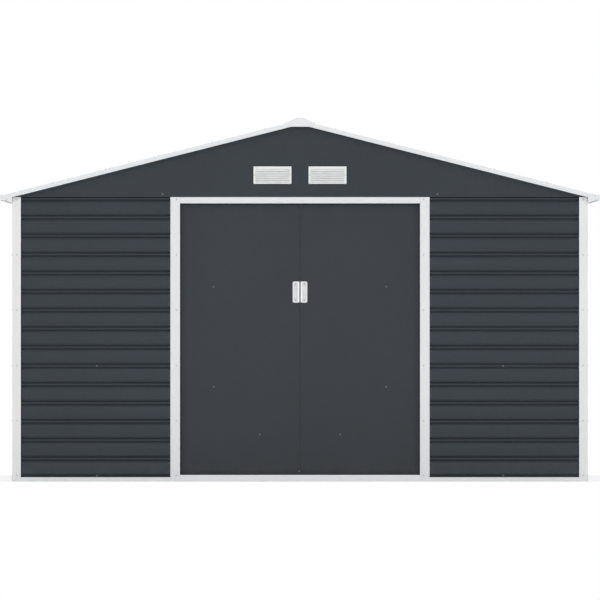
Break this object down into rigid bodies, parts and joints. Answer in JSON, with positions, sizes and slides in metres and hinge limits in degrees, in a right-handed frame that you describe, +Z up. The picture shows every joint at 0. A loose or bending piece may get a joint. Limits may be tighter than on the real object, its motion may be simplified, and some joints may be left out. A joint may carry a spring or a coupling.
{
  "type": "metal storage shed",
  "caption": "Garden storage shed of ribbed painted sheet metal with an apex roof, pale corner and edge trims, louvred gable vents and a pair of sliding doors.",
  "frame": {"origin": "on the ground under the middle of the ridge, at the middle of the shed's length", "axes": "+Z up, -Y out of the front with the doors, +X to the right seen from the front, +Y along the ridge to the back"},
  "size_m": [3.4, 3.86, 2.0594],
  "materials": {
    "wall_paint": "satin anthracite paint on thin ribbed steel sheet",
    "door_paint": "satin anthracite paint on flat steel sheet",
    "roof_paint": "satin anthracite paint on ribbed steel roof sheet",
    "trim_paint": "satin off-white paint on folded steel trim",
    "vent_plastic": "matt off-white moulded plastic",
    "handle_plastic": "smooth off-white moulded plastic",
    "galvanised_frame": "bare galvanised steel, faintly spangled",
    "runner_plastic": "black moulded plastic"
  },
  "bodies": {
    "shed": {"wall_front_left": "wall_paint", "wall_front_right": "wall_paint", "wall_left": "wall_paint", "wall_right": "wall_paint", "wall_back": "wall_paint", "gable_front": "wall_paint", "gable_back": "wall_paint", "base_rail_front_left": "trim_paint", "base_rail_front_right": "trim_paint", "base_rail_left": "trim_paint", "base_rail_right": "trim_paint", "base_rail_back": "trim_paint", "door_sill": "trim_paint", "corner_post_front_left": "trim_paint", "corner_post_front_right": "trim_paint", "corner_post_back_left": "trim_paint", "corner_post_back_right": "trim_paint", "door_jamb_left": "trim_paint", "door_jamb_right": "trim_paint", "door_head": "trim_paint", "ridge_cap": "trim_paint", "gable_trim_front_left": "trim_paint", "gable_trim_front_right": "trim_paint", "gable_trim_back_left": "trim_paint", "gable_trim_back_right": "trim_paint", "eave_trim_left": "trim_paint", "eave_trim_right": "trim_paint", "vent_front_left": "vent_plastic", "vent_front_right": "vent_plastic", "vent_back_left": "vent_plastic", "vent_back_right": "vent_plastic", "roof_left": "roof_paint", "roof_right": "roof_paint", "middle_rails": "galvanised_frame", "top_rails": "galvanised_frame", "gable_rafters": "galvanised_frame", "roof_beams": "galvanised_frame", "door_track_top": "galvanised_frame", "door_track_floor": "galvanised_frame"},
    "left_door": {"left_door": "door_paint", "left_door_braces": "galvanised_frame", "left_door_handle": "handle_plastic", "left_door_runners": "runner_plastic", "door_cover_strip": "door_paint"},
    "right_door": {"right_door": "door_paint", "right_door_braces": "galvanised_frame", "right_door_handle": "handle_plastic", "right_door_runners": "runner_plastic"}
  },
  "joints": [
    {"name": "left_door_slide", "type": "slide", "parent": "shed", "child": "left_door", "axis": [-1, 0, 0], "range_m": [0, 0.633]},
    {"name": "right_door_slide", "type": "slide", "parent": "shed", "child": "right_door", "axis": [1, 0, 0], "range_m": [0, 0.633]}
  ]
}
